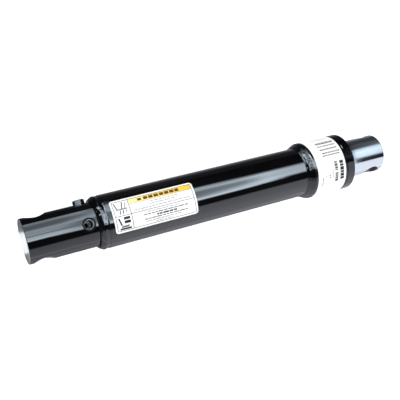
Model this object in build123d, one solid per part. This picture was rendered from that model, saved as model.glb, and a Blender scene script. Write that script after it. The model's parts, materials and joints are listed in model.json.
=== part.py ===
from build123d import *
import math
import os

# Two-stage telescopic hydraulic cylinder, single acting, closed.
# Millimetres. +X runs along the cylinder towards the rod end, the pin holes run along Y, +Z is up.
# The origin is the centre of the base pin hole. A "station" is a distance along X.

# ---- driving dimensions -------------------------------------------------------------------------
PIN_HOLE_R = 14.5            # both eyes take a 1 1/8 in (28.6 mm) pin
CLOSED_PIN_TO_PIN = 542.5
STROKE = 304.8               # 12 in for each stage
STOP_GAP = 0.2               # left between a stop and what it meets

BASE_R = 31.75               # solid base bar, 2.5 in
BARREL_R = 38.1              # 3 in tube
BARREL_BORE_R = 34.925       # 2.75 in bore
COLLAR_R = 44.45             # 3.5 in head collar and sleeve head
SLEEVE_R = 33.6
SLEEVE_BORE_R = 30.9
PLUNGER_R = 30.0             # 60 mm ram

BASE_FACE = -21.0            # stations of the outside faces
BASE_WELD_TOE = 76.7
BARREL_START = 86.6
BARREL_WELD_TOE = 90.6
HEAD_WELD_TOE = 408.3
COLLAR_START = 420.7
COLLAR_END = 479.3
HEAD_FLANGE_END = 493.2
PLUNGER_END = CLOSED_PIN_TO_PIN + 20.5
ROD_EYE_ROLL = -11.0         # the ram turns freely; closed, its eye stands this far round, degrees

PORT_STATION = 64.0          # the oil port opens along +Z, the bleed plug's port along +Y

# ---- fits ---------------------------------------------------------------------------------------
RUN_CLEARANCE = 0.06         # metal bearing over a sliding tube, radial
LIP_CLEARANCE = 0.02         # guide ring or seal lip over a sliding tube, radial
SEAT_CLEARANCE = 0.05        # a ring in its groove, radial and axial

# ---- inside stations ----------------------------------------------------------------------------
PILOT_START = 81.0
PILOT_R = 34.85
PILOT_END = 106.0
SLEEVE_HEAD_START = COLLAR_END - 15.6
SLEEVE_HUB_R = 39.6
SLEEVE_END = COLLAR_END - 6.3
GLAND_END = SLEEVE_HEAD_START - 0.5
GLAND_START = GLAND_END - 20.0
GLAND_R = 39.9
COLLAR_THREAD_R = 39.95
BARREL_END = GLAND_START - 0.2
SLEEVE_START = 108.5
FLANGE_START = COLLAR_END + STOP_GAP
PLUNGER_START = 113.4

LABEL_SKIN = 0.2


# ---- helpers ------------------------------------------------------------------------------------
def turned(outline):
    """A solid turned about X from a closed outline of (station, radius) points."""
    return revolve(make_face(Polyline(*outline, close=True)), Axis.X, 360)


def ring(start, end, inner, outer):
    """A plain ring about X."""
    return turned([(start, inner), (end, inner), (end, outer), (start, outer)])


def o_ring(station, radius, section):
    """An O-ring about X: radius to the middle of its section, section is that of the cord."""
    return revolve(Pos(station, radius) * Circle(section), Axis.X, 360)


def cross_hole(station, radius, roll=0.0):
    """A cutter right through along Y, rolled about X."""
    return Rot(roll, 0, 0) * Pos(station, 0, 0) * Rot(90, 0, 0) * Cylinder(radius, 4 * COLLAR_R)


def radial(station, outline, about_y=False):
    """A solid turned about a radial line along +Z, or +Y, from (radius, height) points."""
    solid = revolve(make_face(Polyline(*outline, close=True)), Axis.Y, 360)
    return Pos(station, 0, 0) * (solid if about_y else Rot(90, 0, 0) * solid)


def u_cup(start, end, inner, outer):
    """A lip seal with a V groove in the face that meets the oil, at its start."""
    middle = (inner + outer) / 2
    opening = (outer - inner) * 0.22
    depth = (end - start) * 0.5
    lip = (outer - inner) * 0.12
    return turned([
        (end, inner + lip), (start + lip * 2, inner), (start, inner + lip),
        (start, middle - opening), (start + depth, middle), (start, middle + opening),
        (start, outer - lip), (start + lip * 2, outer), (end, outer),
    ])


def wiper(start, end, inner, outer):
    """A scraper whose lip leans out along the tube."""
    lip_root = inner + (outer - inner) * 0.45
    return turned([
        (start, inner + 0.5), (end - 1.2, inner + 0.5), (end, inner), (end, inner + 0.6),
        (end - 1.6, lip_root), (end - 1.6, outer), (start, outer),
    ])


def grub_screw(station, bottom, top, radius):
    """A socket set screw standing along -Z, with its hexagon socket outwards."""
    body = Pos(station, 0, -(bottom + top) / 2) * Cylinder(radius, top - bottom)
    socket = extrude(RegularPolygon(radius * 0.5, 6), (top - bottom) * 0.5)
    return body - Pos(station, 0, -top) * socket


# ---- oil port and bleed port, as (radius, distance from the cylinder's axis) ----------------------
PORT_SPOT_R = 9.4
PORT_SPOT = 30.1             # depth of the spot face, where it is a full circle
PORT_CONE_R = 7.1
PORT_THREAD_TOP = 27.7
PORT_THREAD_R = 5.7          # 1/2-20 thread, at its inside diameter
PORT_THREAD_END = 16.5
PORT_PASSAGE_R = 3.5

PLUG_SPOT_R = 8.8
PLUG_SPOT = 30.4
PLUG_CONE_R = 6.2
PLUG_THREAD_TOP = 27.9
PLUG_THREAD_R = 4.95         # 7/16-20 thread, at its inside diameter
PLUG_THREAD_END = 17.7
PLUG_PASSAGE_R = 2.5
PLUG_FLATS = 14.3            # 9/16 in across the flats
PLUG_TOP = 37.8
PASSAGE_R = 5.0


def base_end():
    """Solid base bar: pin eye, two ports, and a pilot that fits inside the barrel."""
    face_chamfer = 0.8
    bar = turned([
        (BASE_FACE, 0), (PILOT_END, 0), (PILOT_END, PILOT_R - 1.5), (PILOT_END - 1.5, PILOT_R),
        (PILOT_START, PILOT_R), (PILOT_START, BASE_R), (BASE_FACE + face_chamfer, BASE_R),
        (BASE_FACE, BASE_R - face_chamfer),
    ])
    bar -= cross_hole(0, PIN_HOLE_R)
    mouths = bar.edges().filter_by(lambda e: abs(e.center().X) < 5 and abs(e.center().Y) > 25)
    bar = chamfer(mouths, 0.8)
    passage_start = PORT_STATION - PASSAGE_R
    bar -= ring(passage_start, PILOT_END + 1, 0, PASSAGE_R)
    outside = BASE_R + 5
    bar -= radial(PORT_STATION, [
        (0, 0), (PORT_PASSAGE_R, 0), (PORT_PASSAGE_R, PORT_THREAD_END - 2),
        (PORT_THREAD_R, PORT_THREAD_END), (PORT_THREAD_R, PORT_THREAD_TOP),
        (PORT_CONE_R, PORT_SPOT), (PORT_SPOT_R, PORT_SPOT), (PORT_SPOT_R, outside), (0, outside),
    ])
    return bar - radial(PORT_STATION, [
        (0, 0), (PLUG_PASSAGE_R, 0), (PLUG_PASSAGE_R, PLUG_THREAD_END - 1.5),
        (PLUG_THREAD_R, PLUG_THREAD_END), (PLUG_THREAD_R, PLUG_THREAD_TOP),
        (PLUG_CONE_R, PLUG_SPOT), (PLUG_SPOT_R, PLUG_SPOT), (PLUG_SPOT_R, outside), (0, outside),
    ], about_y=True)


def bleed_plug():
    """Hexagon-headed port plug, undercut below the head for its O-ring."""
    shank_r = PLUG_THREAD_R - 0.03
    shank_end = PLUG_THREAD_END + 2.0
    undercut_r = 4.3
    undercut_end = PLUG_THREAD_TOP - 0.3
    shank = radial(PORT_STATION, [
        (0, shank_end), (shank_r - 0.8, shank_end), (shank_r, shank_end + 0.8),
        (shank_r, undercut_end),
        (undercut_r, undercut_end), (undercut_r, PLUG_SPOT), (0, PLUG_SPOT),
    ], about_y=True)
    hexagon = RegularPolygon(PLUG_FLATS / 2, 6, major_radius=False, rotation=18)
    head = Pos(PORT_STATION, PLUG_TOP, 0) * Rot(90, 0, 0) * extrude(hexagon, PLUG_TOP - PLUG_SPOT)
    corner_r = PLUG_FLATS / 2 / math.cos(math.radians(30))
    dome = radial(PORT_STATION, [
        (0, 0), (corner_r + 0.1, 0), (corner_r + 0.1, PLUG_TOP - 1.0),
        (PLUG_FLATS / 2 - 0.3, PLUG_TOP), (0, PLUG_TOP),
    ], about_y=True)
    return shank + (head & dome)


def bleed_plug_oring():
    """O-ring squeezed between the plug's undercut and the cone of its port."""
    inner = 4.35
    bottom, top = PLUG_THREAD_TOP + 0.5, PLUG_SPOT - 0.1
    return radial(PORT_STATION, [
        (inner, bottom), (PLUG_THREAD_R + 0.15, bottom), (PLUG_CONE_R - 0.15, top), (inner, top),
    ], about_y=True)


def barrel_tube():
    """Barrel, bevelled at the base end for the weld."""
    land_r = BARREL_BORE_R + 0.5
    return turned([
        (BARREL_START, BARREL_BORE_R), (BARREL_END - 1, BARREL_BORE_R),
        (BARREL_END, BARREL_BORE_R + 1), (BARREL_END, BARREL_R), (BARREL_WELD_TOE, BARREL_R),
        (BARREL_START, land_r),
    ])


def base_weld():
    """Weld that runs from the base bar up onto the barrel's bevel."""
    land_r = BARREL_BORE_R + 0.5
    return turned([
        (BASE_WELD_TOE, BASE_R), (PILOT_START, BASE_R), (PILOT_START, PILOT_R),
        (BARREL_START, PILOT_R), (BARREL_START, land_r), (BARREL_WELD_TOE, BARREL_R),
        (87.0, 37.5), (82.6, 35.6), (79.2, 33.5),
    ])


def head_collar():
    """Collar over the barrel's end: threaded for the gland, open in front for the sleeve head."""
    edge = 0.7
    return turned([
        (COLLAR_START, BARREL_R + 0.03), (BARREL_END + 0.1, BARREL_R + 0.03),
        (BARREL_END + 0.1, COLLAR_THREAD_R), (COLLAR_END - 1, COLLAR_THREAD_R),
        (COLLAR_END, COLLAR_THREAD_R + 1), (COLLAR_END, COLLAR_R - edge),
        (COLLAR_END - edge, COLLAR_R), (COLLAR_START, COLLAR_R),
    ]) - Pos(LOCK_SCREW_STATION, 0, -COLLAR_R) * Cylinder(LOCK_SCREW_R, 12)


def head_weld():
    """Fillet weld between the barrel and the rear face of the collar."""
    return turned([
        (HEAD_WELD_TOE, BARREL_R), (COLLAR_START, BARREL_R), (COLLAR_START, COLLAR_R),
        (COLLAR_START - 3.7, 42.8), (COLLAR_START - 8.4, 40.7),
    ])


# ---- barrel gland: bush, guide ring, lip seal and wiper round the sleeve --------------------------
GLAND_GUIDE = (GLAND_START + 1.7, GLAND_START + 7.2, 35.6)    # groove start, end and depth radius
GLAND_SEAL = (GLAND_START + 8.5, GLAND_START + 14.1, 37.6)
GLAND_WIPER = (GLAND_END - 4.3, GLAND_END, 37.0)
GLAND_ORING = (GLAND_START + 2.4, GLAND_START + 5.6, 37.9)
LOCK_SCREW_STATION = GLAND_START + 10.8
LOCK_SCREW_R = 3.0


def groove(cut, opening_r):
    """The cutter for a groove given as (start, end, depth radius), open towards opening_r."""
    start, end, depth_r = cut
    return ring(start, end, min(depth_r, opening_r), max(depth_r, opening_r))


def gland_bush():
    bore_r = SLEEVE_R + RUN_CLEARANCE
    bush = turned([
        (GLAND_START, bore_r), (GLAND_END, bore_r), (GLAND_END, GLAND_R - 1),
        (GLAND_END - 1, GLAND_R), (GLAND_START, GLAND_R),
    ])
    for cut in (GLAND_GUIDE, GLAND_SEAL, GLAND_WIPER):
        bush -= groove(cut, bore_r - 1)
    bush -= groove(GLAND_ORING, GLAND_R + 1)
    return bush - Pos(LOCK_SCREW_STATION, 0, -GLAND_R) * Cylinder(LOCK_SCREW_R, 3)


def in_groove(cut):
    """The start, end and outer radius of a ring that sits in a groove with SEAT_CLEARANCE."""
    start, end, depth_r = cut
    return start + SEAT_CLEARANCE, end - SEAT_CLEARANCE, depth_r - SEAT_CLEARANCE


def guide_ring_for(cut, tube_r):
    start, end, outer = in_groove(cut)
    return ring(start, end, tube_r + LIP_CLEARANCE, outer)


def seal_for(cut, tube_r):
    start, end, outer = in_groove(cut)
    return u_cup(start, end, tube_r + LIP_CLEARANCE, outer)


def wiper_for(cut, tube_r):
    start, end, outer = in_groove(cut)
    return wiper(start, end, tube_r + LIP_CLEARANCE, outer)


def gland_oring():
    return o_ring(GLAND_START + 4.0, 38.9, 0.95)


# ---- sleeve stage ---------------------------------------------------------------------------------
SLEEVE_BEARING = (114.0, 124.0, 32.7)   # groove in the outside of the sleeve's foot
SLEEVE_STOP_END = GLAND_START - STOP_GAP - STROKE
SLEEVE_STOP = (SLEEVE_STOP_END - 3.0, SLEEVE_STOP_END, 32.6)
PLUNGER_REST = (110.4, 113.2, 31.9)     # groove in the bore of the sleeve's foot
HEAD_THREAD_R = SLEEVE_R + 0.03
HEAD_GUIDE = (SLEEVE_END + 1.2, SLEEVE_END + 6.2, 32.2)
HEAD_SEAL = (SLEEVE_END + 7.6, SLEEVE_END + 13.2, 34.0)
HEAD_WIPER = (HEAD_FLANGE_END - 4.4, HEAD_FLANGE_END, 33.4)
HEAD_ORING = (SLEEVE_END - 3.4, SLEEVE_END - 0.8, 35.4)
HEAD_LOCK_STATION = SLEEVE_HEAD_START + 2.9
HEAD_LOCK_R = 2.0


def sleeve_tube():
    """Middle stage: a tube grooved at its foot for the bearing, the stop ring and the rest ring."""
    tube = turned([
        (SLEEVE_START, SLEEVE_BORE_R), (SLEEVE_END, SLEEVE_BORE_R), (SLEEVE_END, SLEEVE_R),
        (SLEEVE_START + 1, SLEEVE_R), (SLEEVE_START, SLEEVE_R - 1),
    ])
    for cut in (SLEEVE_BEARING, SLEEVE_STOP):
        tube -= groove(cut, SLEEVE_R + 1)
    return tube - groove(PLUNGER_REST, SLEEVE_BORE_R - 1)


def split_ring(start, end, inner, outer, gap, roll=0.0):
    """A ring cut through by a slot gap wide, as a snap ring or bearing strip is."""
    slot = Pos((start + end) / 2, 0, outer) * Box(end - start + 2, gap, 2 * outer)
    return Rot(roll, 0, 0) * (ring(start, end, inner, outer) - slot)


def sleeve_bottom_bearing():
    start, end, seat_r = SLEEVE_BEARING
    return split_ring(start + SEAT_CLEARANCE, end - SEAT_CLEARANCE, seat_r + SEAT_CLEARANCE,
                      BARREL_BORE_R - 0.05, 2.0)


def sleeve_stop_ring():
    start, end, seat_r = SLEEVE_STOP
    return split_ring(start, end, seat_r, BARREL_BORE_R - 0.35, 6.0, roll=90)


def plunger_rest_ring():
    start, end, seat_r = PLUNGER_REST
    return split_ring(start, end, 26.5, seat_r, 8.0, roll=180)


def sleeve_head():
    """Head screwed onto the sleeve; its flange rests on the collar when the cylinder is closed."""
    bore_r = PLUNGER_R + RUN_CLEARANCE
    edge = 0.7
    head = turned([
        (SLEEVE_HEAD_START, HEAD_THREAD_R), (SLEEVE_END, HEAD_THREAD_R), (SLEEVE_END, bore_r),
        (HEAD_FLANGE_END, bore_r), (HEAD_FLANGE_END, COLLAR_R - edge),
        (HEAD_FLANGE_END - edge, COLLAR_R), (FLANGE_START + edge, COLLAR_R),
        (FLANGE_START, COLLAR_R - edge), (FLANGE_START, SLEEVE_HUB_R),
        (SLEEVE_HEAD_START + 1, SLEEVE_HUB_R), (SLEEVE_HEAD_START, SLEEVE_HUB_R - 1),
    ])
    for cut in (HEAD_GUIDE, HEAD_SEAL, HEAD_WIPER):
        head -= groove(cut, bore_r - 1)
    head -= groove(HEAD_ORING, HEAD_THREAD_R - 1)
    return head - Pos(HEAD_LOCK_STATION, 0, -SLEEVE_HUB_R) * Cylinder(HEAD_LOCK_R, 14)


def sleeve_head_oring():
    return o_ring(SLEEVE_END - 2.1, 34.5, 0.85)


# ---- plunger stage --------------------------------------------------------------------------------
PLUNGER_BEARING = (118.0, 128.0, 28.2)
PLUNGER_STOP_END = SLEEVE_END - STOP_GAP - STROKE
PLUNGER_STOP = (PLUNGER_STOP_END - 4.0, PLUNGER_STOP_END, 28.0)


def plunger():
    """Solid ram with the rod eye through its end."""
    end_chamfer = 1.6
    ram = turned([
        (PLUNGER_START, 0), (PLUNGER_END, 0), (PLUNGER_END, PLUNGER_R - end_chamfer),
        (PLUNGER_END - 0.5, PLUNGER_R - 0.6), (PLUNGER_END - end_chamfer, PLUNGER_R),
        (PLUNGER_START + 2, PLUNGER_R), (PLUNGER_START, PLUNGER_R - 2),
    ])
    ram -= cross_hole(CLOSED_PIN_TO_PIN, PIN_HOLE_R, ROD_EYE_ROLL)
    mouths = ram.edges().filter_by(
        lambda e: abs(e.center().X - CLOSED_PIN_TO_PIN) < 5 and abs(e.center().Y) > 22)
    ram = chamfer(mouths, 0.6)
    for cut in (PLUNGER_BEARING, PLUNGER_STOP):
        ram -= groove(cut, PLUNGER_R + 1)
    return ram


def plunger_bottom_bearing():
    start, end, seat_r = PLUNGER_BEARING
    return split_ring(start + SEAT_CLEARANCE, end - SEAT_CLEARANCE, seat_r + SEAT_CLEARANCE,
                      SLEEVE_BORE_R - 0.05, 2.0)


def plunger_stop_ring():
    start, end, seat_r = PLUNGER_STOP
    return split_ring(start, end, seat_r, SLEEVE_BORE_R - 0.3, 6.0, roll=90)


# ---- labels ---------------------------------------------------------------------------------------
LABEL_START = 96.8
LABEL_END = 221.0
LABEL_HALF_ANGLE = 36.5
LABEL_CORNER_R = 4.5
WRAP_START = 424.0
WRAP_END = 475.5
WRAP_GAP_ANGLE = 50.0


def barrel_label():
    """Blank information label on the barrel's upper side, with rounded corners."""
    width = 2 * (BARREL_R + LABEL_SKIN) * math.sin(math.radians(LABEL_HALF_ANGLE))
    outline = RectangleRounded(LABEL_END - LABEL_START, width, LABEL_CORNER_R)
    middle = (LABEL_START + LABEL_END) / 2
    prism = Pos(middle, 0, 0) * extrude(outline, 2 * BARREL_R)
    return ring(LABEL_START, LABEL_END, BARREL_R, BARREL_R + LABEL_SKIN) & prism


def collar_label():
    """Label wrapped round the collar, open at the underside where the lock screw is."""
    skin = ring(WRAP_START, WRAP_END, COLLAR_R, COLLAR_R + LABEL_SKIN)
    reach = 2 * COLLAR_R
    half_gap = math.tan(math.radians(WRAP_GAP_ANGLE / 2)) * reach
    wedge = make_face(Polyline((0, 0), (half_gap, -reach), (-half_gap, -reach), close=True))
    return skin - extrude(Plane.YZ.offset(WRAP_START - 1) * wedge, WRAP_END - WRAP_START + 2)


NODES = {
    "base_end": base_end,
    "barrel_tube": barrel_tube,
    "base_weld": base_weld,
    "bleed_plug": bleed_plug,
    "bleed_plug_oring": bleed_plug_oring,
    "head_collar": head_collar,
    "head_weld": head_weld,
    "gland_bush": gland_bush,
    "gland_oring": gland_oring,
    "sleeve_guide_ring": lambda: guide_ring_for(GLAND_GUIDE, SLEEVE_R),
    "sleeve_seal": lambda: seal_for(GLAND_SEAL, SLEEVE_R),
    "sleeve_wiper": lambda: wiper_for(GLAND_WIPER, SLEEVE_R),
    "gland_lock_screw": lambda: grub_screw(LOCK_SCREW_STATION, 38.5, 44.1, LOCK_SCREW_R - 0.03),
    "sleeve_tube": sleeve_tube,
    "sleeve_bottom_bearing": sleeve_bottom_bearing,
    "sleeve_stop_ring": sleeve_stop_ring,
    "plunger_rest_ring": plunger_rest_ring,
    "sleeve_head": sleeve_head,
    "sleeve_head_oring": sleeve_head_oring,
    "sleeve_head_lock_screw": lambda: grub_screw(HEAD_LOCK_STATION, 33.7, 39.2, HEAD_LOCK_R - 0.03),
    "plunger_guide_ring": lambda: guide_ring_for(HEAD_GUIDE, PLUNGER_R),
    "plunger_seal": lambda: seal_for(HEAD_SEAL, PLUNGER_R),
    "plunger_wiper": lambda: wiper_for(HEAD_WIPER, PLUNGER_R),
    "plunger": plunger,
    "plunger_bottom_bearing": plunger_bottom_bearing,
    "plunger_stop_ring": plunger_stop_ring,
    "barrel_label": barrel_label,
    "collar_label": collar_label,
}

os.makedirs("parts", exist_ok=True)
for name, make in NODES.items():
    export_step(make(), f"parts/{name}.step")
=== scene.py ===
import json
import math
import random

import bpy
from mathutils import Matrix, Quaternion, Vector, noise


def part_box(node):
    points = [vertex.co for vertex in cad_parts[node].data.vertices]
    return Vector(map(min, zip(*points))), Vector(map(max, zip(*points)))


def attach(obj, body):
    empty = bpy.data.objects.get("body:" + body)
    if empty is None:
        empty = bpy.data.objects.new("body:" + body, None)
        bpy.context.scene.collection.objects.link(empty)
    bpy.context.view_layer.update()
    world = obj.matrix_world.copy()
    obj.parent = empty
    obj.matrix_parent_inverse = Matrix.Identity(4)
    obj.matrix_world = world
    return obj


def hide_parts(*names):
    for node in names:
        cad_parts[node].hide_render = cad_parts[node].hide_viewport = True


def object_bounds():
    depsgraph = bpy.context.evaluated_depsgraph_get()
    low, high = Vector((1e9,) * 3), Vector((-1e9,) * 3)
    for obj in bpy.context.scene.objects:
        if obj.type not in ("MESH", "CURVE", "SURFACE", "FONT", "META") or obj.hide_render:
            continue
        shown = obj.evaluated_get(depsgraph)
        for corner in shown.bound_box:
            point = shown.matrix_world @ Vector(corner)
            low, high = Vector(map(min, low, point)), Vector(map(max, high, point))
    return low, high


# Looks of a closed two-stage telescopic hydraulic cylinder. Metres, in the CAD frame:
# +X runs along the cylinder to the rod end, +Z is up. An "angle" is measured from +Z towards +Y.

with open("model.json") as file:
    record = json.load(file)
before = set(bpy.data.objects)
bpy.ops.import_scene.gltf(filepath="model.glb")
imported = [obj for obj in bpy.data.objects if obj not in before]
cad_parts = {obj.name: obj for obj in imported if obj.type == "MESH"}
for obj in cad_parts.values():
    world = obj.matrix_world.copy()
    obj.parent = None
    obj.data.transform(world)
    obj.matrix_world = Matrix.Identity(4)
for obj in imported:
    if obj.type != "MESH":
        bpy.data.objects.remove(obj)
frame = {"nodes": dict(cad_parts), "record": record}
bpy.context.view_layer.update()
cad_low, cad_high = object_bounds()

NODES = frame["nodes"]
MOUNTS = {mount["name"]: mount for mount in frame["record"]["mounts"]}
MM = 0.001


def station_range(node):
    low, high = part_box(node)
    return low.x, high.x


def outer_radius(node):
    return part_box(node)[1].y


BASE_FACE = station_range("base_end")[0]
TUBE_R = outer_radius("barrel_tube")
COLLAR_R = outer_radius("head_collar")
BASE_R = -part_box("base_end")[0].z
LABEL_START, LABEL_END = station_range("barrel_label")
WRAP_START, WRAP_END = station_range("collar_label")
PIN_R = MOUNTS["base_pin"]["dims"]["r_mm"] * MM
ROD_PIN = Vector(MOUNTS["rod_pin"]["pos_m"])
ROD_PIN_AXIS = Vector(MOUNTS["rod_pin"]["axis"])
PORT = Vector(MOUNTS["oil_port"]["pos_m"])
PORT_R = MOUNTS["oil_port"]["dims"]["r_mm"] * MM
PORT_LENGTH = MOUNTS["oil_port"]["dims"]["length_mm"] * MM


# ---- node helpers ---------------------------------------------------------------------------------
class Shader:
    """A material with one Principled shader, and short calls for the nodes that feed it."""

    def __init__(self, name):
        self.material = bpy.data.materials.new(name)
        self.material.use_nodes = True
        self.nodes = self.material.node_tree.nodes
        self.links = self.material.node_tree.links
        self.principled = self.nodes["Principled BSDF"]
        self.place = self.nodes.new("ShaderNodeTexCoord").outputs["Object"]

    def put(self, socket, value):
        """Sets or links one input socket."""
        if isinstance(value, bpy.types.NodeSocket):
            self.links.new(value, socket)
        else:
            socket.default_value = value

    def set(self, **inputs):
        """Sets the Principled shader's inputs: Base_Color=..., Roughness=..."""
        for name, value in inputs.items():
            self.put(self.principled.inputs[name.replace("_", " ")], value)
        return self

    def math(self, operation, a, b=0.0, clamp=False):
        node = self.nodes.new("ShaderNodeMath")
        node.operation = operation
        node.use_clamp = clamp
        self.put(node.inputs[0], a)
        self.put(node.inputs[1], b)
        return node.outputs[0]

    def stretched(self, scale):
        """The place, scaled by a different factor along each axis."""
        node = self.nodes.new("ShaderNodeMapping")
        self.put(node.inputs["Vector"], self.place)
        node.inputs["Scale"].default_value = scale
        return node.outputs[0]

    def noise(self, scale, detail=3.0, place=None):
        node = self.nodes.new("ShaderNodeTexNoise")
        self.put(node.inputs["Vector"], place or self.place)
        node.inputs["Scale"].default_value = scale
        node.inputs["Detail"].default_value = detail
        return node.outputs["Fac"]

    def ramp(self, fac, *stops):
        """A colour ramp through (position, grey or (r, g, b)) stops."""
        node = self.nodes.new("ShaderNodeValToRGB")
        self.put(node.inputs["Fac"], fac)
        elements = node.color_ramp.elements
        while len(elements) < len(stops):
            elements.new(0.5)
        for element, (position, colour) in zip(elements, stops):
            rgb = colour if isinstance(colour, tuple) else (colour,) * 3
            element.position = position
            element.color = (*rgb, 1.0)
        return node.outputs["Color"]

    def span(self, value, low, high, to_low=0.0, to_high=1.0):
        """Value mapped from low..high to to_low..to_high and clamped."""
        node = self.nodes.new("ShaderNodeMapRange")
        self.put(node.inputs["Value"], value)
        node.inputs["From Min"].default_value = low
        node.inputs["From Max"].default_value = high
        node.inputs["To Min"].default_value = to_low
        node.inputs["To Max"].default_value = to_high
        return node.outputs["Result"]

    def inside(self, value, edge, blur=0.1 * MM):
        """1 up to the edge, then down to 0 over the blur."""
        return self.span(value, edge, edge + blur, 1.0, 0.0)

    def outside(self, value, edge, blur=0.1 * MM):
        """0 up to the edge, then up to 1 over the blur."""
        return self.span(value, edge, edge + blur)

    def mix(self, fac, a, b):
        """Colour a where fac is 0, b where it is 1."""
        node = self.nodes.new("ShaderNodeMix")
        node.data_type = "RGBA"
        self.put(node.inputs["Factor"], fac)
        for index, colour in ((6, a), (7, b)):
            if isinstance(colour, tuple):
                colour = (*colour, 1.0)
            self.put(node.inputs[index], colour)
        return node.outputs[2]

    def blend(self, fac, a, b):
        """Number a where fac is 0, b where it is 1."""
        node = self.nodes.new("ShaderNodeMix")
        self.put(node.inputs["Factor"], fac)
        self.put(node.inputs[2], a)
        self.put(node.inputs[3], b)
        return node.outputs[0]

    def axes(self):
        node = self.nodes.new("ShaderNodeSeparateXYZ")
        self.put(node.inputs[0], self.place)
        return node.outputs

    def distance_to_line(self, point, axis):
        """Distance from the line through point along axis."""
        offset = self.vector("SUBTRACT", self.place, point)
        cross = self.vector("CROSS_PRODUCT", offset, axis)
        node = self.nodes.new("ShaderNodeVectorMath")
        node.operation = "LENGTH"
        self.put(node.inputs[0], cross)
        return node.outputs["Value"]

    def vector(self, operation, a, b):
        node = self.nodes.new("ShaderNodeVectorMath")
        node.operation = operation
        self.put(node.inputs[0], a)
        self.put(node.inputs[1], tuple(b))
        return node.outputs[0]

    def bump(self, *layers):
        """Stacks bumps from (height socket, strength, distance in metres)."""
        normal = None
        for height, strength, distance in layers:
            node = self.nodes.new("ShaderNodeBump")
            node.inputs["Strength"].default_value = strength
            node.inputs["Distance"].default_value = distance
            self.put(node.inputs["Height"], height)
            if normal:
                self.put(node.inputs["Normal"], normal)
            normal = node.outputs[0]
        self.put(self.principled.inputs["Normal"], normal)
        return self


# ---- materials ------------------------------------------------------------------------------------
PAINT_DARK = (0.0016, 0.0016, 0.0020)
PAINT_LIGHT = (0.0034, 0.0034, 0.0040)
STEEL = (0.68, 0.685, 0.69)
STEEL_DULL = (0.54, 0.545, 0.55)


def painted(name, bare=None):
    """Gloss black enamel with orange peel and dust. Bare, for the base bar, is a function that gives
    the mask where cut steel shows and its tool marks; with it, the oil port's spot face and thread are also
    painted shade, a dull near-black."""
    s = Shader(name)
    drift = s.noise(9.0, 2.0)
    peel = s.noise(420.0, 2.0)
    ripple = s.noise(75.0, 2.0)
    dust = s.ramp(s.noise(1500.0, 1.0), (0.70, 0.0), (0.80, 1.0))
    dusty = s.math("MULTIPLY", dust, s.span(drift, 0.45, 0.65, 0.0, 0.5))
    colour = s.mix(dusty, s.ramp(drift, (0.35, PAINT_DARK), (0.65, PAINT_LIGHT)), (0.03, 0.03, 0.032))
    gloss = s.span(s.noise(38.0, 4.0), 0.3, 0.7, 0.03, 0.06)
    gloss = s.math("ADD", gloss, s.math("MULTIPLY", dusty, 0.2))
    if bare is None:
        s.set(Base_Color=colour, Roughness=gloss)
    else:
        mask, lines = bare(s)
        # painted shade: the port's spot face and thread bore become dull near-black metal, standing for the
        # shade in the recess
        recess_shade = port_painted_shade(s)
        colour = s.mix(recess_shade, colour, (0.004, 0.004, 0.004))
        gloss = s.blend(recess_shade, gloss, 0.5)
        steel = s.ramp(lines, (0.3, STEEL_DULL), (0.7, STEEL))
        s.set(Base_Color=s.mix(mask, colour, steel), Metallic=s.math("MAXIMUM", mask, recess_shade))
        s.set(Roughness=s.blend(mask, gloss, s.span(lines, 0.3, 0.7, 0.28, 0.42)))
    s.set(Specular_IOR_Level=0.5)
    return s.bump((ripple, 0.10, 0.00025), (peel, 0.16, 0.00003)).material


PORT_WALL = PORT_R + 0.05 * MM      # radii where the port's thread, seat and spot face end
PORT_SEAT_END = PORT_R + 1.4 * MM
PORT_SPOT_END = PORT_R + 3.6 * MM


def port_painted_shade(s):
    """Painted shade in the oil port: a dull near-black on its spot face and down its thread, standing for
    the shade in the recess.
    """
    from_port = s.distance_to_line(PORT, (0, 0, 1))
    spot = s.math("MULTIPLY", s.outside(from_port, PORT_SEAT_END),
                  s.inside(from_port, PORT_SPOT_END, 0.15 * MM))
    recess_shade = s.math("MAXIMUM", spot, s.inside(from_port, PORT_WALL))
    return s.math("MULTIPLY", recess_shade, s.math("GREATER_THAN", s.axes()[2], 0.0))


def base_end_bare(s):
    """Bare metal on the base bar: its end face, the pin bore, and the seat and foot of the port.
    Returns the mask and the tool marks, which run round the end face."""
    face = s.inside(s.axes()[0], BASE_FACE + 0.25 * MM, 0.2 * MM)
    bore = s.inside(s.distance_to_line((0, 0, 0), (0, 1, 0)), PIN_R + 0.35 * MM, 0.25 * MM)
    from_port = s.distance_to_line(PORT, (0, 0, 1))
    seat = s.math("MULTIPLY", s.inside(from_port, PORT_SEAT_END - 0.1 * MM, 0.15 * MM),
                  s.outside(from_port, PORT_WALL))
    bottom = PORT.z - PORT_LENGTH / 2
    foot = s.math("MULTIPLY", s.inside(s.axes()[2], bottom + 0.2 * MM, 0.3 * MM),
                  s.inside(from_port, PORT_R - 0.2 * MM))
    port = s.math("MULTIPLY", s.math("MAXIMUM", seat, foot), s.math("GREATER_THAN", s.axes()[2], 0.0))
    mask = s.math("ADD", face, s.math("MAXIMUM", bore, port), clamp=True)

    from_axis = s.distance_to_line((0, 0, 0), (1, 0, 0))
    rings = s.math("MULTIPLY", s.math("SINE", s.math("MULTIPLY", from_axis, 6500.0)), 0.10)
    rings = s.math("ADD", rings, s.noise(30.0, 2.0))
    lines = s.blend(face, s.noise(60.0, 3.0, s.stretched((90.0, 6.0, 6.0))), rings)
    return mask, lines


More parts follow.
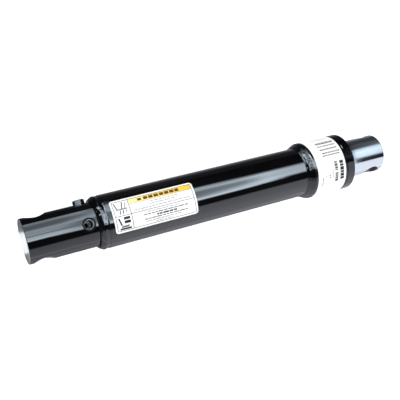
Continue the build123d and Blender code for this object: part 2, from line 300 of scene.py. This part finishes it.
def chrome():
    """Hard chrome, ground round the ram, with blueish depth and a duller bore that is also darkened as
    painted shade inside the pin hole.
    """
    s = Shader("chrome_plate")
    drift = s.noise(7.0, 2.0)
    rings = s.noise(1.0, 3.0, s.stretched((2600.0, 14.0, 14.0)))
    hairs = s.ramp(s.noise(1.0, 1.0, s.stretched((9000.0, 60.0, 60.0))), (0.66, 0.0), (0.74, 1.0))
    bore = s.inside(s.distance_to_line(ROD_PIN, ROD_PIN_AXIS), PIN_R + 0.1 * MM, 0.2 * MM)
    plate = s.ramp(drift, (0.3, (0.485, 0.515, 0.540)), (0.7, (0.520, 0.545, 0.565)))
    # The pin bore is duller steel; its dark base colour is partly painted shade inside the hole.
    s.set(Base_Color=s.mix(bore, plate, (0.20, 0.20, 0.20)), Metallic=1.0)
    sheen = s.math("ADD", s.span(rings, 0.3, 0.7, 0.035, 0.08), s.math("MULTIPLY", hairs, 0.08))
    s.set(Roughness=s.blend(bore, sheen, 0.45))
    return s.bump((rings, 0.10, 0.000012), (hairs, 0.08, 0.00001)).material


def metal(name, low, high, rough, grain=(1400.0, 30.0, 30.0)):
    """Machined or oxide-coated metal with tool marks along one direction."""
    s = Shader(name)
    marks = s.noise(1.0, 4.0, s.stretched(grain))
    stain = s.noise(120.0, 3.0)
    shade = s.math("MULTIPLY", s.math("ADD", marks, stain), 0.5)
    s.set(Base_Color=s.ramp(shade, (0.35, low), (0.65, high)), Metallic=1.0)
    s.set(Roughness=s.span(shade, 0.35, 0.65, rough * 0.8, rough * 1.25))
    return s.bump((marks, 0.25, 0.00003)).material


def soft(name, low, high, rough):
    """Rubber, polyurethane or nylon: fine grain and small shade changes."""
    s = Shader(name)
    grain = s.noise(2600.0, 3.0)
    shade = s.noise(240.0, 3.0)
    s.set(Base_Color=s.ramp(shade, (0.35, low), (0.65, high)), Metallic=0.0)
    s.set(Roughness=s.span(grain, 0.3, 0.7, rough * 0.85, rough * 1.15))
    return s.bump((grain, 0.2, 0.00004)).material


def printed(name, low, high, rough=0.42):
    """Coated label stock or the ink on it, from one shade to the other."""
    s = Shader(name)
    fibre = s.noise(900.0, 4.0)
    wash = s.noise(45.0, 3.0)
    shade = s.math("ADD", s.math("MULTIPLY", fibre, 0.4), s.math("MULTIPLY", wash, 0.6))
    s.set(Base_Color=s.ramp(shade, (0.35, low), (0.65, high)), Metallic=0.0)
    s.set(Roughness=s.span(wash, 0.3, 0.7, rough * 0.85, rough * 1.15))
    s.principled.inputs["Specular IOR Level"].default_value = 0.22
    return s.bump((fibre, 0.08, 0.00002)).material


def amber_header():
    """Header ink that deepens from pale yellow to amber along the label."""
    s = Shader("header_ink")
    x = s.axes()[0]
    run = s.math("ADD", s.span(x, HEADER_START, FRAME_END), s.math("MULTIPLY", s.noise(60.0, 3.0), 0.06))
    pale, yellow, amber = (0.93, 0.80, 0.36), (0.93, 0.66, 0.10), (0.90, 0.50, 0.02)
    s.set(Base_Color=s.ramp(run, (0.0, pale), (0.45, yellow), (1.0, amber)))
    s.set(Roughness=s.span(s.noise(45.0, 3.0), 0.3, 0.7, 0.36, 0.48))
    s.principled.inputs["Specular IOR Level"].default_value = 0.22
    return s.bump((s.noise(900.0, 4.0), 0.08, 0.00002)).material


def dress(material, *nodes):
    """Gives CAD nodes a new material."""
    for node in nodes:
        NODES[node].data.materials.clear()
        NODES[node].data.materials.append(material)


# ---- mesh helpers ---------------------------------------------------------------------------------
def on_cylinder(station, radius, angle):
    """A point at an angle in degrees from +Z towards +Y."""
    a = math.radians(angle)
    return Vector((station, radius * math.sin(a), radius * math.cos(a)))


class Builder:
    """Collects vertices and faces for one mesh piece."""

    def __init__(self):
        self.points = []
        self.faces = []
        self.kinds = []

    def add_grid(self, rows, closed_rows=False, closed_columns=False, kind=0):
        """A sheet through rows of points, joined round where closed."""
        start = len(self.points)
        count = len(rows[0])
        for row in rows:
            self.points.extend(row)
        last_row = len(rows) if closed_rows else len(rows) - 1
        last_column = count if closed_columns else count - 1
        for i in range(last_row):
            for j in range(last_column):
                a = start + i * count + j
                b = start + i * count + (j + 1) % count
                next_row = start + (i + 1) % len(rows) * count
                self.faces.append((a, b, next_row + (j + 1) % count, next_row + j))
                self.kinds.append(kind)

    def finish(self, name, materials, body, smooth=True):
        mesh = bpy.data.meshes.new(name)
        mesh.from_pydata([tuple(p) for p in self.points], [], self.faces)
        for material in materials:
            mesh.materials.append(material)
        for face, kind in zip(mesh.polygons, self.kinds):
            face.material_index = kind
            face.use_smooth = smooth
        mesh.validate()
        piece = bpy.data.objects.new(name, mesh)
        bpy.context.scene.collection.objects.link(piece)
        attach(piece, body)
        return piece


# ---- welds ----------------------------------------------------------------------------------------
AROUND = 900                # points round a bead
ACROSS = 26                 # steps from toe to toe
CALM = 0.3                  # share of the ripple left far from the restart
TOE_WANDER = 0.25 * MM
ROOT_DEPTH = 0.4 * MM       # how far the bead's underside lies below its lower toe
BEAT = 3.2 * MM             # from one ripple to the next


def bell(away, width):
    return math.exp(-(away / width) ** 2)


def turned(angle, other):
    """How far angle is from other, both in degrees, from -180 to 180."""
    return (angle - other + 180) % 360 - 180


def weld_bead(name, node, profile, ripple, rough, restart, lumps, seed):
    """A weld bead round X. The profile runs from one toe to the other as (station, radius); the ring
    closes on the inside, just under the metal that it joins. Ripple is the height of the regular
    beats and rough that of the random ones, in mm, both full at the restart, an (angle, width in
    degrees). A lump is (angle, share of the profile, height in mm, width in degrees)."""
    builder = Builder()
    length = [0.0]
    for (x0, r0), (x1, r1) in zip(profile, profile[1:]):
        length.append(length[-1] + math.hypot(x1 - x0, r1 - r0))

    def at(share):
        """Point and outward normal of the profile at a share of its length."""
        run = share * length[-1]
        k = max(i for i in range(len(profile) - 1) if length[i] <= run + 1e-12)
        t = (run - length[k]) / (length[k + 1] - length[k])
        (x0, r0), (x1, r1) = profile[k], profile[k + 1]
        size = math.hypot(x1 - x0, r1 - r0)
        return x0 + (x1 - x0) * t, r0 + (r1 - r0) * t, -(r1 - r0) / size, (x1 - x0) / size

    mean_r = sum(r for _x, r in profile) / len(profile)
    root_r = min(r for _x, r in profile) - ROOT_DEPTH
    rows = []
    for i in range(AROUND):
        angle = 360 * i / AROUND
        turn = math.radians(angle)
        spot = Vector((math.sin(turn), math.cos(turn), seed)) * 3.0
        wander = noise.noise(spot * 1.7) * 0.7
        wild = CALM + (1 - CALM) * bell(turned(angle, restart[0]), restart[1])
        row = []
        for j in range(ACROSS + 1):
            share = j / ACROSS
            x, r, nx, nr = at(share)
            crown = math.sin(math.pi * share)
            beat = (turn * mean_r / BEAT + (share - 0.5) ** 2 * 1.6 + wander) % 1.0
            lift = ripple * (math.sin(math.pi * beat) - 0.5)
            lift += rough * noise.noise(spot * 2.4 + Vector((0, 0, share * 4.5)))
            lift *= crown * wild
            for place, centre, height, width in lumps:
                lift += height * bell(turned(angle, place), width) * bell(share - centre, 0.22)
            toe = TOE_WANDER * noise.noise(spot * 9.0) * (1 - crown)
            row.append(on_cylinder(x + nx * lift * MM + toe, r + nr * lift * MM, angle))
        row.append(on_cylinder(profile[-1][0], root_r, angle))
        row.append(on_cylinder(profile[0][0], root_r, angle))
        rows.append(row)
    builder.add_grid(rows, closed_rows=True, closed_columns=True)
    piece = builder.finish(name, [painted(f"black_enamel_{node}")], "barrel")
    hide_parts(node)


def base_weld():
    """The bead from the base bar up to the tube, with a heap of metal where it was restarted."""
    low, high = station_range("base_weld")
    profile = (
        (low, BASE_R), (low + 2.5 * MM, BASE_R + 1.6 * MM), (low + 5.8 * MM, BASE_R + 3.4 * MM),
        (high - 2.0 * MM, TUBE_R - 0.8 * MM), (high, TUBE_R),
    )
    lumps = (
        (28, 0.70, 0.8, 5.0), (31, 0.26, 0.9, 4.0), (22, 0.48, 0.9, 3.5),
        (-62, 0.5, 0.4, 7), (140, 0.5, 0.5, 6),
    )
    weld_bead("base_weld_bead", "base_weld", profile, 0.12, 0.30, (28, 11), lumps, 3.0)


def head_weld():
    """The bead from the tube up to the collar, streaky along its top."""
    low, high = station_range("head_weld")
    profile = (
        (low, TUBE_R), (low + 4.0 * MM, TUBE_R + 2.6 * MM),
        (high - 3.7 * MM, COLLAR_R - 1.65 * MM), (high, COLLAR_R),
    )
    lumps = ((31, 0.5, 0.6, 4), (24, 0.35, 0.6, 4), (17, 0.6, 0.6, 4), (9, 0.4, 0.6, 4), (2, 0.55, 0.5, 4))
    weld_bead("head_weld_bead", "head_weld", profile, 0.30, 0.75, (20, 22), lumps, 8.0)


# ---- labels ---------------------------------------------------------------------------------------
SHEET_LIFT = 0.09 * MM      # the paper's top above the metal, then the header band's and the ink's
BAND_LIFT = 0.14 * MM
INK_LIFT = 0.19 * MM
SHEET_SINK = 0.10 * MM      # how far a sheet's underside lies in the metal
PRINT_SINK = 0.04 * MM      # how far a print's underside lies in the paper
PAPER, GREY, DARK, AMBER, PALE, BROWN, RULE = range(7)


def add_strip(builder, rows, top, bottom, kind):
    """A thin curved sheet with closed sides, through (angle, start, end) rows."""
    first = len(builder.points)
    builder.add_grid([[
        on_cylinder(start, bottom, angle), on_cylinder(start, top, angle),
        on_cylinder(end, top, angle), on_cylinder(end, bottom, angle),
    ] for angle, start, end in rows], closed_columns=True, kind=kind)
    last = len(builder.points) - 4
    builder.faces.extend([(first + 3, first + 2, first + 1, first), (last, last + 1, last + 2, last + 3)])
    builder.kinds.extend([kind, kind])


def add_patch(builder, start, end, low, high, radius, kind, lean=0.0):
    """A printed bar from station start to end, between two angles, leaning along X by lean."""
    steps = max(1, int(abs(high - low) / 2.0) + 1)
    rows = []
    for k in range(steps + 1):
        share = k / steps
        rows.append((low + (high - low) * share, start + lean * share, end + lean * share))
    lift = BAND_LIFT if kind == AMBER else INK_LIFT
    add_strip(builder, rows, radius + lift, radius + SHEET_LIFT - PRINT_SINK, kind)


def add_sheet(builder, start, end, low, high, corner, radius):
    """The label's paper, with round corners."""
    steps = 90
    rows = []
    for k in range(steps + 1):
        share = 0.5 - 0.5 * math.cos(math.pi * k / steps)
        angle = low + (high - low) * share
        edge = math.radians(min(angle - low, high - angle)) * radius
        inset = corner - math.sqrt(max(corner ** 2 - max(corner - edge, 0.0) ** 2, 0.0))
        rows.append((angle, start + inset, end - inset))
    add_strip(builder, rows, radius + SHEET_LIFT, radius - SHEET_SINK, PAPER)


def add_text_row(builder, rng, start, end, angle, height, radius, kind, word=(3.0, 9.0), gap=1.0):
    """A row of plain bars along X that stands for a line of text: no letters."""
    half = math.degrees(height / radius) / 2
    x = start
    while x < end - 1.0 * MM:
        stop = min(x + rng.uniform(*word) * MM, end)
        add_patch(builder, x, stop, angle - half, angle + half, radius, kind)
        x = stop + gap * MM


BORDER = 3.0 * MM
FRAME_START = LABEL_START + BORDER
FRAME_END = LABEL_END - BORDER
DIVIDER = LABEL_START + 26.0 * MM
HEADER_START = DIVIDER + 0.8 * MM
LABEL_HALF = math.degrees(math.asin(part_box("barrel_label")[1].y / (TUBE_R + 0.2 * MM)))
FRAME_HALF = LABEL_HALF - math.degrees(BORDER / TUBE_R)
HEADER_LOW = 20.6
LINE = 0.85 * MM
WRAP_HALF_GAP = 25.0        # half the bare stretch under the collar, degrees


def barrel_label_face(materials):
    """Paper, frame, picture cells, header band and rows of bars of the barrel's label."""
    rng = random.Random(11)
    builder = Builder()
    add_sheet(builder, LABEL_START, LABEL_END, -LABEL_HALF, LABEL_HALF, 4.5 * MM, TUBE_R)
    half_line = math.degrees(LINE / TUBE_R) / 2

    def bar(x0, x1, a0, a1, kind=GREY, lean=0.0):
        add_patch(builder, x0, x1, a0, a1, TUBE_R, kind, lean)

    for edge in (FRAME_START, FRAME_END, DIVIDER):
        bar(edge - LINE / 2, edge + LINE / 2, -FRAME_HALF, FRAME_HALF, RULE)
    for edge in (-FRAME_HALF, FRAME_HALF, -0.4):
        bar(FRAME_START + LINE / 2, FRAME_END - LINE / 2, edge - half_line, edge + half_line, RULE)
    bar(HEADER_START, FRAME_END - LINE / 2, HEADER_LOW, FRAME_HALF - half_line, AMBER)
    bar(HEADER_START, FRAME_END - LINE / 2, HEADER_LOW - 0.8, HEADER_LOW, GREY)
    x = HEADER_START + 22 * MM
    for _k in range(7):
        width = rng.uniform(5.8, 7.2) * MM
        bar(x, x + width, 22.7, 29.6, BROWN)
        x += width + 1.3 * MM
    bar(HEADER_START + 13 * MM, HEADER_START + 19 * MM, 22.9, 28.8, BROWN)

    # plain blocks in the two picture cells: from and to in mm along X, two angles, lean in mm, ink
    cell = FRAME_START + 2.0 * MM
    for left, right, low, high, lean, kind in (
        (2.0, 4.0, 12.0, 29.0, -2.5, GREY),
        (8.5, 10.5, 14.0, 29.0, 3.0, GREY),
        (13.0, 15.0, 14.0, 27.0, 3.0, PALE),
        (3.0, 17.0, 12.0, 14.6, 0.0, GREY),
        (4.5, 6.5, 3.0, 11.0, 1.5, GREY),
        (9.0, 11.0, 3.0, 11.0, 1.5, GREY),
        (13.5, 15.5, 5.0, 11.0, 1.5, PALE),
        (3.5, 5.8, -20.0, -4.5, -3.0, DARK),
        (9.0, 18.0, -9.0, -3.5, 0.0, DARK),
        (9.0, 18.0, -17.0, -11.0, 0.0, DARK),
        (1.5, 18.0, -30.0, -26.0, 0.0, DARK),
        (3.0, 14.0, -25.0, -21.0, 2.0, GREY),
    ):
        bar(cell + left * MM, cell + right * MM, low, high, kind, lean * MM)

    # rows of bars either side of the middle line: angle, margins and height in mm, ink
    left = DIVIDER + 3.0 * MM
    right = FRAME_END - 3.0 * MM
    for angle, near, far, height, kind in (
        (15.8, 26, 20, 1.4, PALE), (10.8, 26, 22, 1.4, PALE), (4.6, 3, 3, 1.6, PALE),
        (-4.6, 20, 22, 1.4, PALE), (-9.4, 14, 8, 1.6, GREY), (-14.4, 33, 26, 2.2, DARK),
        (-19.4, 14, 10, 1.5, GREY), (-24.2, 16, 20, 1.5, PALE), (-28.4, 30, 34, 1.4, PALE),
    ):
        add_text_row(builder, rng, left + near * MM, right - far * MM, angle, height * MM, TUBE_R, kind)
    piece = builder.finish("barrel_label_face", materials, "barrel", smooth=False)
    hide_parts("barrel_label")


def collar_label_face(materials):
    """Paper wrapped nearly all round the collar, with rows of bars along X and columns round it."""
    rng = random.Random(5)
    builder = Builder()
    add_sheet(builder, WRAP_START, WRAP_END, WRAP_HALF_GAP - 180, 180 - WRAP_HALF_GAP, 1.0 * MM, COLLAR_R)

    def column(x, width, high, low, kind, piece_angle, gap_angle):
        angle = high
        while angle > low:
            stop = max(angle - piece_angle * rng.uniform(0.75, 1.25), low)
            add_patch(builder, x - width / 2, x + width / 2, stop, angle, COLLAR_R, kind)
            angle = stop - gap_angle

    rows_start = WRAP_START + 16.0 * MM
    rows_end = WRAP_END - 3.5 * MM
    for angle, height, kind in (
        (64.0, 1.2, PALE), (49.5, 1.6, GREY), (46.4, 2.0, DARK), (38.6, 2.0, GREY),
        (29.6, 2.2, GREY), (21.2, 2.2, GREY), (15.6, 2.0, GREY),
    ):
        shift = rng.uniform(-0.8, 0.8) * MM
        add_text_row(builder, rng, rows_start + shift, rows_end + shift, angle, height * MM, COLLAR_R, kind,
                     word=(2.0, 5.5), gap=0.9)
    column(WRAP_END - 7.4 * MM, 6.6 * MM, 0.0, -39.5, DARK, 5.6, 1.2)
    column(WRAP_END - 17.6 * MM, 5.4 * MM, 0.0, -18.0, RULE, 4.2, 1.3)
    column(WRAP_END - 17.6 * MM, 5.4 * MM, -22.5, -42.5, RULE, 4.2, 1.3)
    column(WRAP_END - 24.5 * MM, 1.8 * MM, -17.0, -31.0, PALE, 3.2, 1.8)
    column(WRAP_END - 30.5 * MM, 2.2 * MM, -24.0, -34.0, GREY, 2.6, 2.0)
    column(WRAP_END - 37.5 * MM, 1.6 * MM, -25.5, -29.5, PALE, 2.6, 1.2)
    column(WRAP_END - 43.0 * MM, 2.0 * MM, -27.0, -46.0, PALE, 12.0, 1.0)
    piece = builder.finish("collar_label_face", materials, "barrel", smooth=False)
    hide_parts("collar_label")


# ---- oil port -------------------------------------------------------------------------------------
def port_thread(material):
    """The crests of the oil port's thread: a fine helical ridge inside the tapped hole."""
    builder = Builder()
    pitch = 25.4 / 20 * MM
    crest = 0.42
    per_turn = 64
    run_out = 20
    steps = int((PORT_LENGTH / pitch - 1.2) * per_turn)
    bottom = PORT.z - PORT_LENGTH / 2 + 0.6 * pitch
    rows = []
    for k in range(steps + 1):
        turn = k / per_turn * 2 * math.pi
        z = bottom + pitch * k / per_turn
        tip = -crest * min(1.0, k / run_out, (steps - k) / run_out)
        row = []
        for dr, dz in ((0.05, -0.42), (tip, -0.08), (tip, 0.08), (0.05, 0.42)):
            r = PORT_R + dr * MM
            row.append(Vector((PORT.x + r * math.cos(turn), PORT.y + r * math.sin(turn), z + dz * pitch)))
        rows.append(row)
    builder.add_grid(rows, closed_columns=True)
    last = len(builder.points) - 4
    builder.faces.extend([(3, 2, 1, 0), (last, last + 1, last + 2, last + 3)])
    builder.kinds.extend([0, 0])
    builder.finish("oil_port_thread", [material], "barrel", smooth=False)


# ---- studio ---------------------------------------------------------------------------------------
CAMERA_PLACE = Vector((-0.1326, -0.0321, 0.9196))
CAMERA_AIM = Vector((0.2411, -0.0045, 0.0))
CAMERA_ROLL = 15.1
CAMERA_LENS = 60.14
TENT_R = 2.5
TENT_START = -2.2           # stations of the tent's two ends
TENT_END = 3.8
CAMERA_SIDE = -2.0          # the camera stands this many degrees from +Z towards +Y


def make_camera():
    data = bpy.data.cameras.new("camera")
    data.lens = CAMERA_LENS
    data.sensor_width = 36.0
    data.clip_start = 0.05
    data.clip_end = 50.0
    camera = bpy.data.objects.new("camera", data)
    bpy.context.scene.collection.objects.link(camera)
    forward = (CAMERA_AIM - CAMERA_PLACE).normalized()
    level = Vector((0, 1, 0))
    level = (level - forward * level.dot(forward)).normalized()
    up = Quaternion(forward, math.radians(CAMERA_ROLL)) @ level
    right = forward.cross(up)
    turn = Matrix((right, up, -forward)).transposed()
    camera.matrix_world = Matrix.Translation(CAMERA_PLACE) @ turn.to_4x4()
    bpy.context.scene.camera = camera


def make_floor():
    """A pale floor, big enough to fill every view."""
    size = 30.0
    height = cad_low.z
    corners = [(-size, -size, height), (size, -size, height), (size, size, height), (-size, size, height)]
    mesh = bpy.data.meshes.new("floor")
    mesh.from_pydata(corners, [], [(0, 1, 2, 3)])
    floor = bpy.data.objects.new("floor", mesh)
    bpy.context.scene.collection.objects.link(floor)
    s = Shader("floor_paper")
    grain = s.noise(3.0, 2.0)
    s.set(Base_Color=s.ramp(grain, (0.3, 0.80), (0.7, 0.82)), Roughness=0.9)
    s.set(Emission_Color=(1.0, 1.0, 1.0, 1.0), Emission_Strength=0.5)
    s.principled.inputs["Specular IOR Level"].default_value = 0.0
    mesh.materials.append(s.material)


def glow_material():
    """Emission that reads the colour stored on a card's points."""
    material = bpy.data.materials.new("card_glow")
    material.use_nodes = True
    nodes, links = material.node_tree.nodes, material.node_tree.links
    nodes.clear()
    level = nodes.new("ShaderNodeAttribute")
    level.attribute_name = "glow"
    emission = nodes.new("ShaderNodeEmission")
    out = nodes.new("ShaderNodeOutputMaterial")
    links.new(level.outputs["Color"], emission.inputs["Color"])
    links.new(emission.outputs[0], out.inputs[0])
    return material


COOL = (0.86, 1.0, 1.13)
NEUTRAL = (0.95, 0.985, 1.10)


def card(name, rows, levels, material):
    """A lit card that only reflections see, from a grid of points and the (level, tint) at each."""
    builder = Builder()
    builder.add_grid(rows)
    mesh = bpy.data.meshes.new(name)
    mesh.from_pydata([tuple(p) for p in builder.points], [], builder.faces)
    glow = mesh.attributes.new("glow", "FLOAT_COLOR", "POINT")
    for k, (level, tint) in enumerate(value for row in levels for value in row):
        glow.data[k].color = (*(level * c for c in tint), 1.0)
    mesh.materials.append(material)
    thing = bpy.data.objects.new(name, mesh)
    bpy.context.scene.collection.objects.link(thing)
    for ray in ("camera", "diffuse", "transmission", "volume_scatter", "shadow"):
        setattr(thing, f"visible_{ray}", False)


def between(value, pairs):
    """Level at value from sorted (place, level) pairs, held flat beyond the ends."""
    if value <= pairs[0][0]:
        return pairs[0][1]
    for (p0, l0), (p1, l1) in zip(pairs, pairs[1:]):
        if value <= p1:
            return l0 + (l1 - l0) * (value - p0) / max(p1 - p0, 1e-9)
    return pairs[-1][1]


# Softbox levels by how far round from the camera a surface has to face to mirror them, in degrees,
# at tent stations in metres: a wide two-tone box over the base, narrower and brighter to the head,
# a gap for the flange, and a dimmer one over the ram.
BANDS = (
    (0.40, ((-4.3, 0), (-3.0, 10.5), (1, 9.5), (5, 8.0), (6.8, 6.6), (7.2, 0.6), (8.0, 0.6), (8.5, 6.8),
            (12, 5.6), (21, 6.0), (24, 2.2), (33, 1.8), (38, 3.6), (42, 3.4), (43.5, 0))),
    (0.48, ((-5.8, 0), (-4.2, 8), (1, 10.5), (4, 6.5), (6.6, 5.8), (7.0, 0.8), (7.8, 0.8), (8.3, 5.4),
            (13, 5.2), (21, 6.6), (24, 2.4), (33, 1.8), (38, 4.0), (42, 4.0), (43.5, 0))),
    (0.58, ((-7.2, 0), (-5, 8), (0, 7.5), (3, 4), (9, 2.8), (16, 3.0), (20, 7.6), (24, 5.0),
            (30, 2.3), (37, 4.6), (42, 4.2), (43.5, 0))),
    (0.75, ((-8.5, 0), (-7, 12), (-4, 12), (0, 4.2), (4, 3.1), (15, 2.7), (20, 7.6), (25, 6.8),
            (33, 6.2), (36, 0))),
    (1.20, ((-8.5, 0), (-7, 5), (-5.5, 15), (-4, 13), (-1, 5.3), (3, 3.6), (11, 3.0), (14, 6), (16, 8.5),
            (20, 8), (22, 1.2), (24, 0))),
    (1.50, ((-8.5, 0), (-7.3, 3), (-5.5, 14), (0, 10), (5, 4.6), (10, 5.0), (15, 11), (18, 5.0), (21.5, 0))),
    (1.65, ((-7.4, 0), (-5.6, 9), (-4, 13), (0, 14), (5, 10.5), (10, 11), (15, 12), (18, 3.6), (21, 0))),
    (1.80, ((-5.5, 0), (-3.8, 3), (-1, 10), (0, 11), (8, 9.5), (13, 10), (17, 5.0), (19.5, 0.5), (21, 0))),
    (2.15, ((-5, 0), (-3, 4), (0, 8), (10, 8), (15, 6), (20, 0))),
    (2.25, ((-11, 0.02), (-8.2, 0.2), (-5.6, 1.2), (-2, 1.8), (12, 2.0), (21, 1.2), (24, 0.26),
            (28, 0.12), (40, 0.14), (45, 0.05))),
    (2.60, ((-11, 0.03), (-8.2, 0.2), (-5.6, 0.8), (-1, 1.2), (12, 1.45), (20, 1.25), (25, 0.4),
            (30, 0.24), (45, 0.08))),
)
FRONT_WHITE = ((-23.5, 1.75), (-21.3, 1.4), (-19.2, 0.0))   # the camera's own side, towards -Y
FRONT_EDGE = -17.0
FLANGE_STATIONS = (2.13, 2.262)     # where the flange's rim mirrors the tent
FLANGE_BOX = ((-7.8, 1.65), (-6.4, 0.0), (1, 0.0), (5, 0.5), (8, 0.0))
BASE_WELD_END = -1.35               # the base weld's slope mirrors the tent up to here
BASE_WELD_BOX = ((17, 0.0), (20, 12.0), (34, 12.0), (37, 0.0))
HEAD_WELD_STATIONS = (-1.0, -0.1)   # where the head weld's slope mirrors it
HEAD_WELD_BOX = ((-1, 0.0), (2, 16.0), (30, 14.0), (40, 5.0), (42, 0.0))
TUBE_STATION = 0.2                  # the base bar, the tube and the rest mirror it from here on
PLAIN_STATION = 2.9                 # and past this one it is plain


def near_white(station):
    """The camera side's white dims over the base and towards the ram."""
    return between(station, ((0.4, 0.78), (0.62, 0.82), (0.75, 1.0), (2.18, 1.0), (2.2, 0.84)))


def tent_level(facing, station):
    """Level and tint of the tent where a surface facing that way mirrors it."""
    if FLANGE_STATIONS[0] < station < FLANGE_STATIONS[1]:
        return between(facing, FLANGE_BOX), NEUTRAL
    if facing < FRONT_EDGE:
        shift = 1.8 if station < 0.66 else 0.0
        return between(facing + shift, FRONT_WHITE) * near_white(station), NEUTRAL
    if station < BASE_WELD_END:
        return between(facing, BASE_WELD_BOX), COOL
    if HEAD_WELD_STATIONS[0] < station < HEAD_WELD_STATIONS[1]:
        return between(facing, HEAD_WELD_BOX), COOL
    if station < TUBE_STATION:
        return 0.0, COOL
    if station > PLAIN_STATION:
        return 0.8, COOL
    for (x0, low), (x1, high) in zip(BANDS, BANDS[1:]):
        if station <= x1:
            share = min(max((station - x0) / (x1 - x0), 0.0), 1.0)
            return between(facing, low) * (1 - share) + between(facing, high) * share, COOL
    return between(facing, BANDS[-1][1]), COOL


def make_tent():
    """Reflected light: a half-round tent over the cylinder, its two ends, and a skirt on each side
    that stands for how the floor dims or brightens near the object."""
    glow = glow_material()
    turns = [-96 + 0.75 * k for k in range(int(196 / 0.75) + 1)]
    stations = [TENT_START + 0.02 * k for k in range(int((TENT_END - TENT_START) / 0.02) + 1)]
    rows = [[on_cylinder(x, TENT_R, t + CAMERA_SIDE) for x in stations] for t in turns]
    levels = [[tent_level(t / 2, x) for x in stations] for t in turns]
    card("tent_card", rows, levels, glow)
    for name, x, level in (("base_end_card", TENT_START, 0.05), ("rod_end_card", TENT_END, 1.2)):
        rows = [[Vector((x, y, z)) for y in (-2.4, 2.4)] for z in (0.0, TENT_R)]
        card(name, rows, [[(level, NEUTRAL)] * 2] * 2, glow)
    height = cad_low.z + 1.5 * MM
    back = (
        (0.015, 0.3), (0.045, 0.5), (0.06, 0.55), (0.075, 0.42), (0.10, 0.24), (0.15, 0.08), (2.6, 0.08),
    )
    front = ((-0.3, 1.4), (-0.11, 1.15), (-0.08, 0.75), (-0.06, 0.42), (-0.045, 0.25), (-0.015, 0.15))
    bright = ((-0.3, 1.4), (-0.045, 1.1), (-0.015, 0.6))
    for name, spots, run in (
        ("back_skirt_card", back, ((-1.6, 0.2), (0.06, 0.2), (0.13, 0.7), (0.3, 1.0), (3.8, 1.0))),
        ("front_skirt_card", front, ((-1.6, 0.8), (0.06, 0.8), (0.13, 1.0), (0.46, 1.0))),
        ("rod_skirt_card", bright, ((0.47, 1.0), (3.8, 1.0))),
    ):
        rows = [[Vector((x, y, height)) for y, _level in spots] for x, _share in run]
        levels = [[(level * share, NEUTRAL) for _y, level in spots] for _x, share in run]
        card(name, rows, levels, glow)


def make_lights():
    world = bpy.data.worlds.new("studio")
    bpy.context.scene.world = world
    world.use_nodes = True
    background = world.node_tree.nodes["Background"]
    background.inputs["Color"].default_value = (1.0, 1.0, 1.0, 1.0)
    background.inputs["Strength"].default_value = 1.0
    world.cycles_visibility.glossy = False
    for name, place, energy, size in (
        ("key_light", (-0.5, -0.9, 1.6), 14.0, 1.2),
        ("fill_light", (1.0, 0.9, 1.5), 7.0, 1.2),
    ):
        data = bpy.data.lights.new(name, "AREA")
        data.energy = energy
        data.size = size
        light = bpy.data.objects.new(name, data)
        bpy.context.scene.collection.objects.link(light)
        aim = Vector((0.27, 0, 0)) - Vector(place)
        light.location = place
        light.rotation_mode = "QUATERNION"
        light.rotation_quaternion = aim.to_track_quat("-Z", "Y")
        light.visible_glossy = False


# ---- the object -----------------------------------------------------------------------------------
paint = painted("black_enamel")
dress(paint, "barrel_tube", "head_collar", "sleeve_head")
dress(painted("black_enamel_base", base_end_bare), "base_end")
dress(chrome(), "plunger")
ALL_WAYS = (300.0, 300.0, 300.0)
RING_MARKS = (2600.0, 14.0, 14.0)
oxide = metal("black_oxide", (0.030, 0.030, 0.032), (0.075, 0.075, 0.080), 0.30, ALL_WAYS)
screw = metal("screw_oxide", (0.05, 0.05, 0.055), (0.10, 0.10, 0.11), 0.40, ALL_WAYS)
turned_steel = metal("turned_steel", (0.42, 0.42, 0.42), (0.62, 0.62, 0.61), 0.34)
ground_steel = metal("ground_steel", (0.46, 0.47, 0.48), (0.60, 0.61, 0.62), 0.20, RING_MARKS)
rubber = soft("seal_rubber", (0.010, 0.010, 0.010), (0.022, 0.022, 0.022), 0.55)
polyurethane = soft("seal_polyurethane", (0.03, 0.11, 0.24), (0.05, 0.16, 0.31), 0.35)
nylon = soft("bearing_nylon", (0.36, 0.06, 0.04), (0.48, 0.10, 0.06), 0.50)
dress(oxide, "bleed_plug")
dress(screw, "gland_lock_screw", "sleeve_head_lock_screw")
dress(turned_steel, "gland_bush", "sleeve_stop_ring", "plunger_rest_ring", "plunger_stop_ring")
dress(ground_steel, "sleeve_tube")
dress(rubber, "bleed_plug_oring", "gland_oring", "sleeve_head_oring")
dress(polyurethane, "sleeve_seal", "sleeve_wiper", "plunger_seal", "plunger_wiper")
dress(nylon, "sleeve_guide_ring", "sleeve_bottom_bearing", "plunger_guide_ring", "plunger_bottom_bearing")

base_weld()
head_weld()

inks = [
    printed("label_stock", (0.80, 0.80, 0.795), (0.86, 0.86, 0.855)),
    printed("grey_ink", (0.10, 0.10, 0.105), (0.16, 0.16, 0.17)),
    printed("dark_ink", (0.006, 0.006, 0.007), (0.014, 0.014, 0.015)),
    amber_header(),
    printed("pale_ink", (0.30, 0.30, 0.31), (0.38, 0.38, 0.39)),
    printed("brown_ink", (0.050, 0.022, 0.006), (0.075, 0.034, 0.010)),
    printed("rule_ink", (0.045, 0.045, 0.048), (0.070, 0.070, 0.074)),
]
barrel_label_face(inks)
collar_label_face(inks)
# The thread's steel is near black: painted shade down the port's bore.
port_thread(metal("thread_steel_painted_shade", (0.010, 0.010, 0.010), (0.030, 0.030, 0.030), 0.30, ALL_WAYS))

make_camera()
make_floor()
make_tent()
make_lights()
bpy.context.scene.view_settings.view_transform = "Standard"

bpy.context.view_layer.update()
